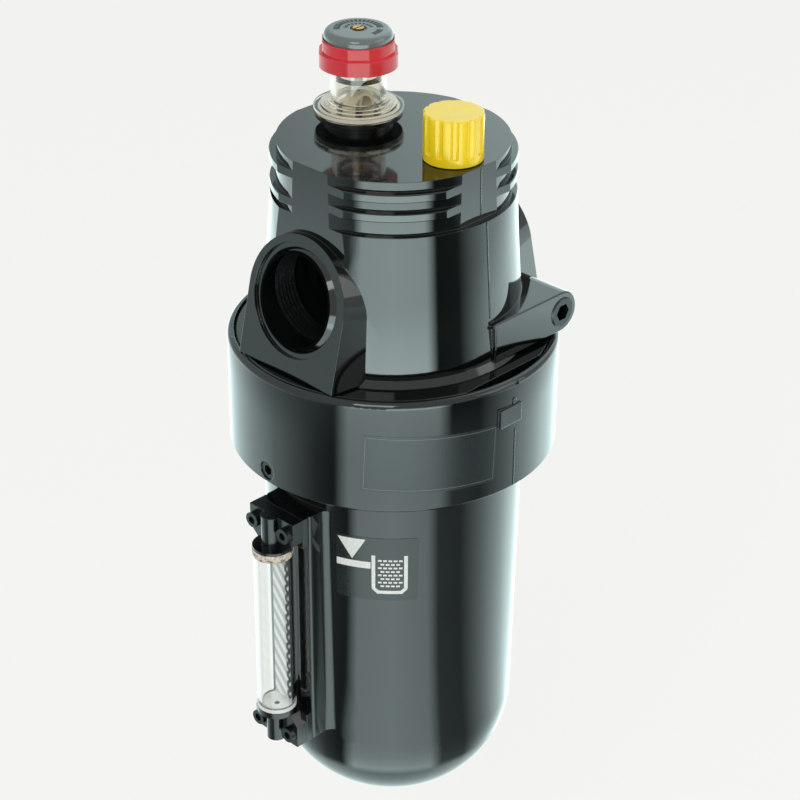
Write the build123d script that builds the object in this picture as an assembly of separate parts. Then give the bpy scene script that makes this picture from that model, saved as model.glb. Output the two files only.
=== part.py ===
from build123d import *
import math
import os

# Air line lubricator. Millimetres, +Z up.
# The origin is where the axis of the two pipe ports (X) crosses the axis of the bowl (Z).
# The inlet faces -X and the outlet +X.

# Clearances shared by the fits
slip_gap = 0.05          # a pushed or screwed fit
fit_gap = 0.2            # a loose fit

# Levels that the other heights hang from
disc_z = 66.0            # flat top of the head
flange_top_z = -37.4     # head's flange
straight_low_z = -256.0  # foot of the bowl's straight sides

# Head: flange and skirt inside the clamp ring, body and neck above
ring_r = 84.35           # outside of the clamp ring
ring_mouth_wall = 3.35
ring_mouth_gap = 0.4
flange_r = ring_r - ring_mouth_wall - ring_mouth_gap
flange_h = 8.0
flange_cut = 5.6         # what a flat takes off the flange, across Y
flange_flat_y = flange_r - flange_cut
flange_bevel = 1.2
flange_step = 2.9
skirt_r = flange_r - flange_step
skirt_wall = 7.2
skirt_h = 46.1
skirt_low_z = flange_top_z - skirt_h
flange_shelf = 14.6
body_low_r = flange_r - flange_shelf
body_taper = 5.2
body_top_r = body_low_r - body_taper
body_blend_r = 3.0
disc_step = 3.3
disc_r = body_top_r - disc_step
neck_draft = 0.7         # the neck is this much wider at its foot
neck_h = 27.0
neck_z = disc_z - neck_h
ridge_w = 4.2            # height of a grip ridge
ridge_drop = 5.0         # top ridge, below the flat top
ridge_pitch = 9.8        # down to the second ridge on the -Y side
ridge_back_pitch = 14.6  # and on the +Y side
ridge_r = body_top_r
ridge_edge_r = 0.4
floor_drop = 9.6
floor_low_z = flange_top_z - floor_drop
land_in = 1.2            # depth of the four smooth lands in the flat top's edge
land_slope = 1.0         # degrees that a land leans out on its way down
port_land_h = 56.0       # a land above a port runs this far down

# Ports
port_bore_r = 22.4
port_thread_depth = 21.0
port_relief = 2.0        # width of the undercut behind the thread
port_relief_out = 1.0
port_out = 1.3           # pad's face beyond the foot of the body
port_face_x = body_low_r + port_out
port_lean = 13.0         # degrees
lip_wall = 1.4
lip_flare = 2.3
lip_rise = 0.8
lip_top_r = port_bore_r + lip_wall
lip_root_r = lip_top_r + lip_flare
recess_w = 2.6
recess_r = lip_root_r + recess_w
recess_depth = 1.6
pad_rim = 3.8
pad_r = recess_r + pad_rim
pad_gap = 1.0            # pad's foot above the flange
pad_low_z = flange_top_z + pad_gap
pad_back = 34.0
pad_flare = 9.0          # degrees
throat_step = 2.4
throat_r = port_bore_r - throat_step
chamber_roof = 6.0
chamber_top_z = throat_r + chamber_roof
floor_top_z = -chamber_top_z

# Side bar with the auxiliary port
bar_out = 1.6            # its face beyond the foot of the body
bar_face_y = body_low_r + bar_out
bar_depth = 36.0
bar_start_x = 2.4
bar_inset = 14.2
bar_end_x = body_low_r - bar_inset
bar_r = 10.8
bar_lift = 0.6           # its foot above the pads' feet
bar_edge_r = 0.8
bar_tab_l = 11.0         # pointed tab beside its left end
bar_tab_h = 1.6
aux_wall = 2.9
aux_r = bar_r - aux_wall
aux_depth = 20.0
aux_plug_len = 12.0
aux_rim = 1.4
aux_hex = 8.0            # across flats
aux_hex_depth = 6.0

# Bowl
bowl_step = 9.9
bowl_top_r = skirt_r - bowl_step
bowl_taper = 2.7
bowl_low_r = bowl_top_r - bowl_taper
bowl_wall = 4.5
bowl_flange_gap = 0.4    # to the ring all round
bowl_gap = 0.5           # to the skirt above
bowl_flange_top_z = skirt_low_z - bowl_gap
bowl_flange_h = 9.2
bowl_flange_low_z = bowl_flange_top_z - bowl_flange_h
bowl_rest_gap = 0.3
crown_more = 9.9
crown_r = bowl_low_r + crown_more
knuckle_less = 7.1
knuckle_r = bowl_low_r - knuckle_less
seal_inset = 3.9
seal_r = skirt_r - seal_inset
seal_section = 1.45
seal_gap = 0.2

# Clamp ring
ring_rise = 0.6          # rim above the flange
ring_top_z = flange_top_z + ring_rise
ring_seat_z = bowl_flange_low_z - bowl_rest_gap
ring_lip_h = 4.7
ring_low_z = ring_seat_z - ring_lip_h
ring_lip_gap = 0.6
ring_round = 3.6
ring_bevel = 1.6
ring_thread_gap = 0.5
ring_ledge_gap = 0.6
lock_angle = -3.6        # degrees from -X
lock_up = 7.8
lock_z = ring_low_z + lock_up
lock_r = 5.0
lock_hex = 5.0
lock_hex_depth = 3.5
lock_sink = 0.7
mark_w = 15.0
mark_h = 9.8
mark_rise = 0.9
mark_x = -4.4
mark_drop = 13.2
mark_top_z = ring_top_z - mark_drop
notch_w = 3.0

# Sight glass on the bowl, facing -X
rail_out = 8.2
rail_x = -bowl_top_r - rail_out
rail_w = 32.0
rail_round = 1.6
rail_root_r = 5.0
groove_w = 14.0
groove_in = 4.0
arm_out = 4.0
arm_x = rail_x - arm_out
arm_h = 17.0
sight_out = 6.5
sight_x = arm_x - sight_out     # axis of the glass
sight_drop = 14.3
sight_top_z = ring_low_z - sight_drop
sight_rise = 5.5
sight_low_z = straight_low_z + sight_rise
sight_mid_z = (sight_top_z + sight_low_z) / 2
block_w = 31.4
block_t = 7.0
block_low_w = 20.6
block_ear_h = 12.5
block_h = 21.0
block_collar_h = 3.5
rib_r = 5.0
rib_out = 0.9
rib_x = sight_x - rib_out
glass_r = 10.0
glass_wall = 2.0
block_collar_rim = 0.4
block_collar_r = glass_r + block_collar_rim
gasket_h = 2.2
gasket_rim = 0.3
board_w = 11.0
board_t = 1.0
board_in = 4.3
board_x = sight_x + board_in
board_gap = 1.0
screw_r = 2.5
screw_head_r = 4.1
screw_head_h = 3.2
screw_hex = 4.0
screw_hex_depth = 1.8
screw_inset = 4.5
screw_y = block_w / 2 - screw_inset
screw_drop = 7.0
screw_len = 15.0
screw_gap = 0.15

# Sight-feed dome, knob and collar
feed_share = 0.4174      # of the disc's radius
feed_y = feed_share * disc_r
knob_r = 16.9
neck_in = 3.3
dome_neck_r = knob_r - neck_in
dome_wall = 2.4
dome_roof = 2.2
dome_step_w = 1.8
dome_step_h = 1.3
dome_steps = 3           # rings between the neck and the flange
dome_flange = 3.3
dome_flange_r = dome_neck_r + dome_steps * dome_step_w + dome_flange
dome_flange_h = 2.6
dome_h = 31.0
dome_top_z = disc_z + dome_h
spigot_in = 1.2
spigot_r = dome_neck_r - spigot_in
spigot_depth = 7.4
spigot_wall = 2.6
base_h = 4.4
base_gap = 0.3
base_bore_r = spigot_r + base_gap
base_wall = 4.3
base_r = base_bore_r + base_wall
pad_ring_h = 2.6
pad_ring_in = 0.7
pad_ring_r = dome_flange_r - pad_ring_in
inner_ring_drop = 6.8
inner_ring_z = dome_top_z - inner_ring_drop
inner_ring_section = 0.9
spout_r = 4.2
spout_tip_r = 1.6
spout_h = 9.0
spout_bore_r = 0.9
arch_in = 4.8
arch_r = spigot_r - arch_in
arch_w = 7.0
arch_t = 2.0
arch_up = 9.0
arch_low_z = disc_z + arch_up
collar_drop = 0.7
collar_low_z = dome_top_z - collar_drop
collar_band_h = 7.5
collar_top_h = 5.9
collar_wall = 1.4
collar_top_r = knob_r + collar_wall
collar_step = 1.5
collar_low_r = collar_top_r + collar_step
collar_flat_w = 10.1      # four flats, on the diagonals
collar_edge = 0.4
collar_lip_h = 1.8
collar_lip_gap = 0.3
collar_bore_gap = 0.35
knob_hub_h = 7.6
knob_low_z = dome_top_z + knob_hub_h
knob_h = 9.7
knob_top_z = knob_low_z + knob_h
knob_round = 3.0
knob_hub_in = 7.9
knob_hub_r = knob_r - knob_hub_in
knob_hub_gap = 0.6
needle_r = 2.2
needle_drop = 9.0
needle_low_z = dome_top_z - needle_drop
needle_gap = 0.1
brass_head_r = 2.8
brass_head_h = 1.3
brass_sink_r = 4.2
brass_sink = 0.9
brass_slot_w = 0.9
brass_slot_d = 0.8

# Fill plug
fill_share = 0.687       # of the disc's radius
fill_y = -fill_share * disc_r
fill_r = 14.7
fill_h = 23.6
fill_top_z = disc_z + fill_h
fill_seat_gap = 0.4
fill_band_h = 4.0
fill_flutes = 12
flute_r = 2.6
flute_depth = 1.1
fill_round = 0.8
fill_seal_in = 2.0
fill_seal_r = fill_r - fill_seal_in
fill_seal_section = 0.9
fill_seal_gap = 0.2
fill_thread_in = 1.7
fill_thread_r = fill_seal_r - fill_thread_in
fill_thread_len = 14.0
fill_thread_gap = 0.15
fill_hole_step = 2.0
fill_hole_r = fill_thread_r - fill_hole_step

# Inside
siphon_out = 9.0
siphon_y = feed_y + siphon_out
siphon_r = 3.0
siphon_wall = 1.0
siphon_way_r = 2.0
siphon_hold = 12.0
siphon_seat_z = floor_low_z + siphon_hold
chamber_wall = 3.0
chamber_r = siphon_y - siphon_r - chamber_wall
sensor_x = -(chamber_r + port_face_x - port_thread_depth - port_relief) / 2
sensor_len = 8.0
sensor_rim = 6.0
sensor_bore_r = throat_r - sensor_rim
disc_t = 1.6
disc_seat = 1.6
fog_bore_r = 7.0
fog_flange_rim = 4.0
fog_flange_r = fog_bore_r + fog_flange_rim
fog_flange_h = 5.0
fog_body_r = 8.4
fog_body_h = 23.0
fog_body_low_z = floor_low_z - fog_body_h
fog_stem_r = 5.5
fog_stem_h = 6.5
fog_stem_low_z = fog_body_low_z - fog_stem_h
fog_jet_r = 2.2
baffle_gap = 4.6         # to the bowl all round
baffle_r = bowl_low_r - bowl_wall - baffle_gap
baffle_t = 1.6
baffle_slots = 6
slot_share = 0.09        # of the plate's radius
baffle_slot_r = slot_share * baffle_r
foot_r = 6.0
foot_h = 14.0
strainer_rim = 2.4
strainer_r = foot_r + strainer_rim
strainer_wall = 0.8
strainer_h = 14.6
strainer_gap = 2.6       # to the bowl's dished end
strainer_reach = siphon_y + strainer_r - knuckle_less
strainer_sink = math.sqrt((knuckle_r - bowl_wall) ** 2 - strainer_reach ** 2)
strainer_low_z = straight_low_z - strainer_sink + strainer_gap
strainer_top_z = strainer_low_z + strainer_h
strainer_floor = 3.6
foot_low_z = strainer_low_z + strainer_floor
foot_top_z = foot_low_z + foot_h
foot_base = 1.0
foot_seat_z = foot_low_z + foot_base
foot_hole_r = 1.6
siphon_above = 6.0
siphon_low_z = foot_seat_z + siphon_above
ball_r = 2.4
ball_gap = 0.03
strainer_slots = 8
strainer_slot_w = 3.0
strainer_slot_h = 8.0


def spun(points):
    """Solid of revolution about Z from (radius, height) points."""
    outline = Polyline(*[(r, 0, z) for r, z in points], close=True)
    return revolve(make_face(outline), axis=Axis.Z)


def tube(outer, inner, low, high):
    return spun([(inner, low), (outer, low), (outer, high), (inner, high)])


def rod(radius, low, high):
    return spun([(0, low), (radius, low), (radius, high), (0, high)])


def block(x_low, x_high, y_low, y_high, z_low, z_high):
    centre = ((x_low + x_high) / 2, (y_low + y_high) / 2, (z_low + z_high) / 2)
    return Pos(*centre) * Box(x_high - x_low, y_high - y_low, z_high - z_low)


def along_x(radius, x_low, x_high, y=0, z=0):
    length = x_high - x_low
    return Pos((x_low + x_high) / 2, y, z) * Rot(0, 90, 0) * Cylinder(radius, length)


def along_y(radius, y_low, y_high, x=0, z=0):
    length = y_high - y_low
    return Pos(x, (y_low + y_high) / 2, z) * Rot(90, 0, 0) * Cylinder(radius, length)


def hexagon_x(across, x_low, x_high, y=0, z=0):
    prism = extrude(RegularPolygon(across / math.sqrt(3), 6), amount=x_high - x_low)
    return Pos(x_low, y, z) * Rot(0, 90, 0) * prism


# Head
lean = math.radians(port_lean)
pad_plane = Plane(
    origin=(-port_face_x, 0, 0),
    x_dir=(0, -1, 0),
    z_dir=(-math.cos(lean), 0, math.sin(lean)),
)


def head_profile():
    """Outline from the flat top down the plain neck and the body to the skirt."""
    flange_low = flange_top_z - flange_h
    return [
        (0, disc_z),
        (disc_r, disc_z),
        (disc_r + neck_draft, neck_z),
        (body_top_r, neck_z),
        (body_low_r, flange_top_z + body_blend_r),
        (body_low_r + body_blend_r, flange_top_z),
        (flange_r - flange_bevel, flange_top_z),
        (flange_r, flange_top_z - flange_bevel),
        (flange_r, flange_low),
        (skirt_r, flange_low),
        (skirt_r, skirt_low_z),
        (skirt_r - skirt_wall, skirt_low_z),
        (skirt_r - skirt_wall, floor_low_z),
        (0, floor_low_z),
    ]


def ridge(drop):
    """Square grip ridge all round, its top this far below the flat top."""
    high = disc_z - drop
    band = tube(ridge_r, disc_r - neck_draft, high - ridge_w, high)
    rims = band.edges().filter_by(GeomType.CIRCLE).group_by(SortBy.RADIUS)[-1]
    return chamfer(rims, ridge_edge_r)


def half_ridge(drop, side):
    """The part of a ridge on one side of the XZ plane."""
    reach = 2 * ridge_r
    low, high = sorted((0, side * reach))
    return ridge(drop) & block(-reach, reach, low, high, -reach, reach)


def land_cutter(height):
    """Slab outside one smooth land of the neck, on the +X side."""
    slab = Rot(0, -land_slope, 0) * block(0, disc_r, -disc_r, disc_r, -2 * height, height)
    slab = slab & block(-disc_r, 2 * disc_r, -disc_r, disc_r, -height, height)
    return Pos(disc_r - land_in, 0, disc_z) * slab


def port_pad():
    """Tombstone pad of the inlet with its raised lip, before the bore."""
    depth = 2 * abs(pad_low_z)
    face = Circle(pad_r) + Pos(0, -depth / 2) * Rectangle(2 * pad_r, depth)
    pad = extrude(pad_plane * face, amount=-pad_back, taper=-pad_flare)
    below = block(-2 * port_face_x, 0, -3 * pad_r, 3 * pad_r, 3 * pad_low_z, pad_low_z)
    pad = pad - below
    pad = pad - pad_plane * Cylinder(recess_r, 2 * recess_depth)
    lip_h = recess_depth + lip_rise
    lip = Pos(0, 0, lip_h / 2 - recess_depth) * Cone(lip_root_r, lip_top_r, lip_h)
    return pad + pad_plane * lip


bar_mid_z = pad_low_z + bar_lift + bar_r


def side_bar():
    """Bar with a round end that carries the auxiliary port."""
    plane = Plane(origin=(0, -bar_face_y, 0), x_dir=(1, 0, 0), z_dir=(0, -1, 0))
    run = bar_end_x - bar_start_x
    face = Pos(bar_start_x + run / 2, bar_mid_z) * Rectangle(run, 2 * bar_r)
    face = face + Pos(bar_end_x, bar_mid_z) * Circle(bar_r)
    bar = extrude(plane * face, amount=-bar_depth)
    front = bar.faces().sort_by(Axis.Y)[0]
    bar = fillet(front.edges(), bar_edge_r)
    inner = bar_start_x + bar_edge_r
    tab = Polyline(
        (inner, bar_edge_r - bar_face_y),
        (inner, -body_top_r),
        (inner - bar_tab_l, -body_top_r),
        close=True,
    )
    tab = extrude(make_face(tab), amount=bar_tab_h, dir=(0, 0, -1))
    return bar + Pos(0, 0, bar_mid_z + bar_r - bar_edge_r) * tab


def head_casting():
    head = spun(head_profile()) + ridge(ridge_drop)
    head = head + half_ridge(ridge_drop + ridge_pitch, -1)
    head = head + half_ridge(ridge_drop + ridge_back_pitch, 1)
    for turn in (0, 180):
        head = head - Rot(0, 0, turn) * land_cutter(port_land_h)
        head = head - Rot(0, 0, turn + 90) * land_cutter(neck_h)
    for side in (-1, 1):
        strip = block(-flange_r, flange_r, 0, flange_r, flange_top_z - flange_h, flange_top_z)
        strip = Pos(0, flange_flat_y, 0) * strip
        head = head - (strip if side > 0 else mirror(strip, Plane.XZ))
    inlet = port_pad()
    head = head + inlet + mirror(inlet, Plane.YZ) + side_bar()
    reach = port_face_x + pad_r
    thread_in = port_face_x - port_thread_depth
    head = head - along_x(throat_r, -reach, reach)
    for turn in (0, 180):
        head = head - Rot(0, 0, turn) * along_x(port_bore_r, thread_in, reach)
        undercut = along_x(port_bore_r + port_relief_out, thread_in - port_relief, thread_in)
        head = head - Rot(0, 0, turn) * undercut
    head = head - rod(chamber_r, floor_top_z, chamber_top_z)
    head = head - rod(fog_bore_r, floor_low_z, floor_top_z)
    head = head - Pos(0, siphon_y, 0) * rod(siphon_r + slip_gap, floor_low_z, siphon_seat_z)
    spigot_low = disc_z - spigot_depth
    head = head - Pos(0, siphon_y, 0) * rod(siphon_way_r, siphon_seat_z, spigot_low)
    head = head - Pos(0, feed_y, 0) * rod(spigot_r + fit_gap, spigot_low, disc_z)
    head = head - Pos(0, feed_y, 0) * rod(siphon_way_r, chamber_top_z - 1, spigot_low)
    head = head - Pos(0, fill_y, 0) * rod(fill_hole_r, floor_low_z, disc_z)
    head = head - Pos(0, fill_y, 0) * rod(fill_thread_r, disc_z - fill_thread_len, disc_z)
    head = head - along_y(aux_r, -bar_face_y - 1, aux_depth - bar_face_y, bar_end_x, bar_mid_z)
    return head


def side_port_plug():
    """Hex socket plug in the auxiliary port, standing a little proud."""
    face = -bar_face_y - aux_rim / 2
    plug = along_y(aux_r - slip_gap, face, face + aux_plug_len, bar_end_x, bar_mid_z)
    plug = chamfer(plug.faces().sort_by(Axis.Y)[0].edges(), aux_rim / 2)
    prism = extrude(RegularPolygon(aux_hex / math.sqrt(3), 6), amount=aux_hex_depth)
    socket = Pos(bar_end_x, face + aux_hex_depth, bar_mid_z) * Rot(90, 0, 0) * prism
    return plug - socket


# Clamp ring
ring_bore_r = skirt_r + ring_thread_gap
ring_mouth_r = flange_r + ring_mouth_gap
ring_ledge_z = flange_top_z - flange_h - ring_ledge_gap


def clamp_ring():
    ring = spun([
        (ring_mouth_r, ring_top_z),
        (ring_r, ring_top_z),
        (ring_r, ring_low_z),
        (bowl_top_r + ring_lip_gap, ring_low_z),
        (bowl_top_r + ring_lip_gap, ring_seat_z),
        (ring_bore_r, ring_seat_z),
        (ring_bore_r, ring_ledge_z),
        (ring_mouth_r, ring_ledge_z),
    ])
    rims = ring.edges().filter_by(GeomType.CIRCLE).group_by(SortBy.RADIUS)[-1].sort_by(Axis.Z)
    ring = fillet(rims[-1], min(ring_round, 0.95 * (ring_r - ring_mouth_r)))
    rims = ring.edges().filter_by(GeomType.CIRCLE).group_by(SortBy.RADIUS)[-1].sort_by(Axis.Z)
    ring = chamfer(rims[0], ring_bevel)
    mark = block(
        mark_x - mark_w / 2, mark_x + mark_w / 2,
        -ring_r - mark_rise, -ring_bore_r - 1,
        mark_top_z - mark_h, mark_top_z,
    )
    ring = ring + mark
    notch = block(
        -notch_w / 2, notch_w / 2, -ring_r - 1, -ring_r + mark_rise, ring_top_z - notch_w, ring_top_z,
    )
    ring = ring - notch
    hole = along_x(lock_r + slip_gap, -ring_r - 1, -ring_bore_r + 1, 0, lock_z)
    return ring - Rot(0, 0, lock_angle) * hole


def ring_lock_screw():
    outer = -ring_r + lock_sink
    screw = along_x(lock_r, outer, -bowl_flange_r - fit_gap, 0, lock_z)
    screw = screw - hexagon_x(lock_hex, outer, outer + lock_hex_depth, 0, lock_z)
    return Rot(0, 0, lock_angle) * screw


# Bowl
bowl_flange_r = ring_bore_r - bowl_flange_gap


def knuckle_meet(radius, crown, knuckle, crown_z):
    """Point where the knuckle arc runs into the crown arc."""
    offset = radius - knuckle
    rise = math.sqrt((crown - knuckle) ** 2 - offset ** 2)
    scale = crown / (crown - knuckle)
    return (offset * scale, crown_z - rise * scale)


def dished(top_r, low_r, crown, knuckle, top_z):
    """Solid with slightly tapered sides and a dished end, both arcs tangent."""
    rise = math.sqrt((crown_r - knuckle_r) ** 2 - (bowl_low_r - knuckle_r) ** 2)
    crown_z = straight_low_z + rise
    meet_r, meet_z = knuckle_meet(low_r, crown, knuckle, crown_z)
    turn = math.atan2(low_r - knuckle, crown_z - straight_low_z)
    mid = (math.pi / 2 + turn) / 2
    mid_r = low_r - knuckle + knuckle * math.sin(mid)
    mid_z = straight_low_z - knuckle * math.cos(mid)
    side = Line((top_r, 0, top_z), (low_r, 0, straight_low_z))
    bend = ThreePointArc((low_r, 0, straight_low_z), (mid_r, 0, mid_z), (meet_r, 0, meet_z))
    half = turn / 2
    crown_mid = (crown * math.sin(half), 0, crown_z - crown * math.cos(half))
    cap = ThreePointArc((meet_r, 0, meet_z), crown_mid, (0, 0, crown_z - crown))
    back = Polyline((0, 0, crown_z - crown), (0, 0, top_z), (top_r, 0, top_z))
    return revolve(make_face(side + bend + cap + back), axis=Axis.Z)


def bowl():
    body = dished(bowl_top_r, bowl_low_r, crown_r, knuckle_r, bowl_flange_top_z)
    frame = block(rail_x, -bowl_low_r / 2, -rail_w / 2, rail_w / 2, sight_low_z, sight_top_z)
    arms = block(arm_x, rail_x, -block_w / 2, block_w / 2, sight_low_z, sight_top_z)
    gap_low = sight_low_z + arm_h
    gap_high = sight_top_z - arm_h
    arms = arms - block(arm_x, rail_x, -rail_w, rail_w, gap_low, gap_high)
    upright = frame.edges().filter_by(Axis.Z).group_by(Axis.X)[0]
    frame = fillet(upright, rail_round)
    body = body + frame
    roots = [
        edge for edge in body.edges().filter_by(GeomType.CIRCLE, reverse=True)
        if abs(abs(edge.center().Y) - rail_w / 2) < 0.1 and edge.length > sight_top_z - sight_mid_z
        and -bowl_top_r < edge.center().X < -bowl_low_r / 2
    ]
    body = fillet(roots, rail_root_r)
    body = body + arms
    body = body - block(rail_x, rail_x + groove_in, -groove_w / 2, groove_w / 2, gap_low, gap_high)
    flange = tube(bowl_flange_r, bowl_low_r, bowl_flange_low_z, bowl_flange_top_z)
    body = body + flange
    body = body - dished(
        bowl_top_r - bowl_wall, bowl_low_r - bowl_wall,
        crown_r - bowl_wall, knuckle_r - bowl_wall, bowl_flange_top_z,
    )
    half = seal_section + seal_gap
    body = body - tube(seal_r + half, seal_r - half, seal_z - half, bowl_flange_top_z)
    for y, z in screw_places():
        body = body - along_x(screw_r + slip_gap, arm_x, screw_tip_x + 1, y, z)
    return body


seal_z = skirt_low_z - slip_gap - seal_section


def o_ring(radius, section, z, y=0):
    ring = Pos(radius, 0, 0) * Rot(90, 0, 0) * Circle(section)
    return Pos(0, y, z) * revolve(ring, axis=Axis.Z)


# Sight glass
block_face_x = arm_x - block_t
screw_tip_x = block_face_x + screw_len
glass_high = sight_top_z - block_h - gasket_h
glass_low = sight_low_z + block_h + gasket_h


def screw_places():
    heights = (sight_top_z - screw_drop, sight_low_z + screw_drop)
    return [(y, z) for z in heights for y in (-screw_y, screw_y)]


def upper_block():
    """End block: shield-shaped plate, middle rib, collar over the glass."""
    top = sight_top_z
    collar_low = top - block_h
    plate_low = collar_low + block_collar_h
    outline = Polyline(
        (arm_x, -block_w / 2, top),
        (arm_x, -block_w / 2, top - block_ear_h),
        (arm_x, -block_low_w / 2, plate_low),
        (arm_x, block_low_w / 2, plate_low),
        (arm_x, block_w / 2, top - block_ear_h),
        (arm_x, block_w / 2, top),
        close=True,
    )
    plate = extrude(make_face(outline), amount=block_t, dir=(-1, 0, 0))
    rib = Pos(rib_x, 0, 0) * rod(rib_r, plate_low, top)
    collar = Pos(sight_x, 0, 0) * rod(block_collar_r, collar_low, plate_low)
    solid = plate + rib + collar
    for y, z in screw_places():
        if z > sight_mid_z:
            solid = solid - along_x(screw_r + screw_gap, block_face_x, arm_x, y, z)
    return solid


def lower_block():
    return mirror(upper_block(), Plane.XY.offset(sight_mid_z))


def sight_glass():
    return Pos(sight_x, 0, 0) * tube(glass_r, glass_r - glass_wall, glass_low, glass_high)


def gasket(low):
    ring = tube(glass_r + gasket_rim, glass_r - glass_wall, low, low + gasket_h)
    return Pos(sight_x, 0, 0) * ring


def level_board():
    half = board_w / 2
    low = glass_low + board_gap
    return block(board_x, board_x + board_t, -half, half, low, glass_high - board_gap)


def block_screws():
    """Four cap screws, alike."""
    screws = []
    for y, z in screw_places():
        shank = along_x(screw_r, block_face_x, screw_tip_x, y, z)
        head = along_x(screw_head_r, block_face_x - screw_head_h, block_face_x, y, z)
        outer = block_face_x - screw_head_h
        screw = shank + head - hexagon_x(screw_hex, outer, outer + screw_hex_depth, y, z)
        screws.append(screw)
    return Compound(children=screws)


# Sight feed
base_top_z = disc_z + base_h
flange_low_z = base_top_z + pad_ring_h
flange_up_z = flange_low_z + dome_flange_h


def at_feed(solid):
    return Pos(0, feed_y, 0) * solid


def dome_base_ring():
    """Black base with the wider seal ring under the dome's flange."""
    return at_feed(spun([
        (base_bore_r, disc_z),
        (base_r, disc_z),
        (base_r, base_top_z),
        (pad_ring_r, base_top_z),
        (pad_ring_r, flange_low_z),
        (base_bore_r, flange_low_z),
    ]))


def feed_dome():
    """Clear dome: spigot, flange, stepped rings, neck and roof in one moulding."""
    bore = spigot_r - spigot_wall
    neck_bore = dome_neck_r - dome_wall
    steps = []
    for index in range(dome_steps):
        radius = dome_neck_r + (dome_steps - index) * dome_step_w
        foot = flange_up_z + index * dome_step_h
        steps += [(radius, foot), (radius, foot + dome_step_h)]
    return at_feed(spun([
        (bore, disc_z - spigot_depth),
        (spigot_r, disc_z - spigot_depth),
        (spigot_r, flange_low_z),
        (dome_flange_r, flange_low_z),
        (dome_flange_r, flange_up_z),
        *steps,
        (dome_neck_r, flange_up_z + dome_steps * dome_step_h),
        (dome_neck_r, dome_top_z),
        (needle_r + needle_gap, dome_top_z),
        (needle_r + needle_gap, dome_top_z - dome_roof),
        (neck_bore, dome_top_z - dome_roof),
        (neck_bore, flange_low_z),
        (bore, flange_low_z),
    ]))


def inner_ring():
    """Black ring inside the neck."""
    outer = dome_neck_r - dome_wall - slip_gap
    low = inner_ring_z - inner_ring_section
    return at_feed(tube(outer, outer - 2 * inner_ring_section, low, inner_ring_z + inner_ring_section))


def drip_nozzle():
    """Arched bridge that stands in the dome and carries the drip spout."""
    low = disc_z - spigot_depth
    bore = spigot_r - spigot_wall - fit_gap
    foot = rod(bore, low, low + arch_t)
    foot = foot - rod(siphon_way_r, low, low + arch_t)
    foot = foot - Pos(0, siphon_y - feed_y, 0) * rod(siphon_way_r, low, low + arch_t)
    bridge = block(-arch_r, arch_r, -arch_w / 2, arch_w / 2, low + arch_t, arch_low_z)
    bridge = bridge + Pos(0, 0, arch_low_z) * Rot(90, 0, 0) * Cylinder(arch_r, arch_w)
    opening = arch_r - arch_t
    void = block(-opening, opening, -arch_w, arch_w, low + arch_t, arch_low_z)
    void = void + Pos(0, 0, arch_low_z) * Rot(90, 0, 0) * Cylinder(opening, 2 * arch_w)
    bridge = bridge - void
    tip = arch_low_z + arch_r - spout_h
    spout = spun([(0, tip), (spout_tip_r, tip), (spout_r / 2, tip + spout_h), (0, tip + spout_h)])
    spout = spout - rod(spout_bore_r, tip, tip + spout_h)
    hole = rod(spout_bore_r, tip, tip + spout_h + arch_t)
    return at_feed(foot + bridge - hole + spout)


collar_step_z = collar_low_z + collar_band_h
collar_top_z = collar_step_z + collar_top_h


def flattened(radius, low, high):
    """Rod with four flats of one width on its diagonals."""
    band = rod(radius, low, high)
    flat = math.sqrt(radius ** 2 - collar_flat_w ** 2 / 4)
    for turn in (45, 135, 225, 315):
        outside = block(flat, 2 * radius, -radius, radius, low, high)
        band = band - Rot(0, 0, turn) * outside
    return chamfer(band.faces().sort_by(Axis.Z)[-1].edges(), collar_edge)


def lock_collar():
    """Collar in two bands with four flats, and an inner lip round the neck."""
    collar = flattened(collar_low_r, collar_low_z, collar_step_z)
    collar = collar + flattened(collar_top_r, collar_step_z, collar_top_z)
    lip_z = collar_low_z + collar_lip_h
    collar = collar - rod(dome_neck_r + collar_lip_gap, collar_low_z, lip_z)
    collar = collar - rod(knob_r + collar_bore_gap, lip_z, collar_top_z)
    return at_feed(collar)


def feed_knob():
    """Knob with a rounded top, a hub above the dome and a sunk seat for its screw."""
    cap = rod(knob_r, knob_low_z, knob_top_z)
    cap = fillet(cap.edges().group_by(Axis.Z)[-1], knob_round)
    hub = rod(knob_hub_r, dome_top_z + knob_hub_gap, knob_low_z)
    knob = cap + hub
    knob = knob - rod(needle_r + needle_gap, dome_top_z, knob_top_z)
    knob = knob - rod(brass_sink_r, knob_top_z - brass_sink, knob_top_z)
    return at_feed(knob)


def knob_screw():
    """Brass needle screw with a slotted head in the knob's sunk seat."""
    seat = knob_top_z - brass_sink
    screw = rod(needle_r, needle_low_z, seat) + rod(brass_head_r, seat, seat + brass_head_h)
    top = seat + brass_head_h
    slot = block(-brass_head_r, brass_head_r, -brass_slot_w / 2, brass_slot_w / 2,
                 top - brass_slot_d, top)
    return at_feed(screw - slot)


# Fill plug
def fill_plug():
    """Scalloped cap with a plain band at its foot and a threaded shank."""
    seat = disc_z + fill_seat_gap
    cap = rod(fill_r, seat, fill_top_z)
    cap = fillet(cap.edges().group_by(Axis.Z)[-1], fill_round)
    centre_r = fill_r + flute_r - flute_depth
    for index in range(fill_flutes):
        turn = 360 * (index + 0.5) / fill_flutes
        flute = Pos(centre_r, 0, 0) * rod(flute_r, seat + fill_band_h, fill_top_z)
        cap = cap - Rot(0, 0, turn) * flute
    shank = rod(fill_thread_r - fill_thread_gap, disc_z - fill_thread_len + 1, seat)
    half = fill_seal_section + fill_seal_gap
    groove_top = fill_seal_z + half
    groove = tube(fill_seal_r + half, fill_seal_r - half, seat, groove_top)
    return Pos(0, fill_y, 0) * (cap + shank - groove)


fill_seal_z = disc_z + slip_gap + fill_seal_section


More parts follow.
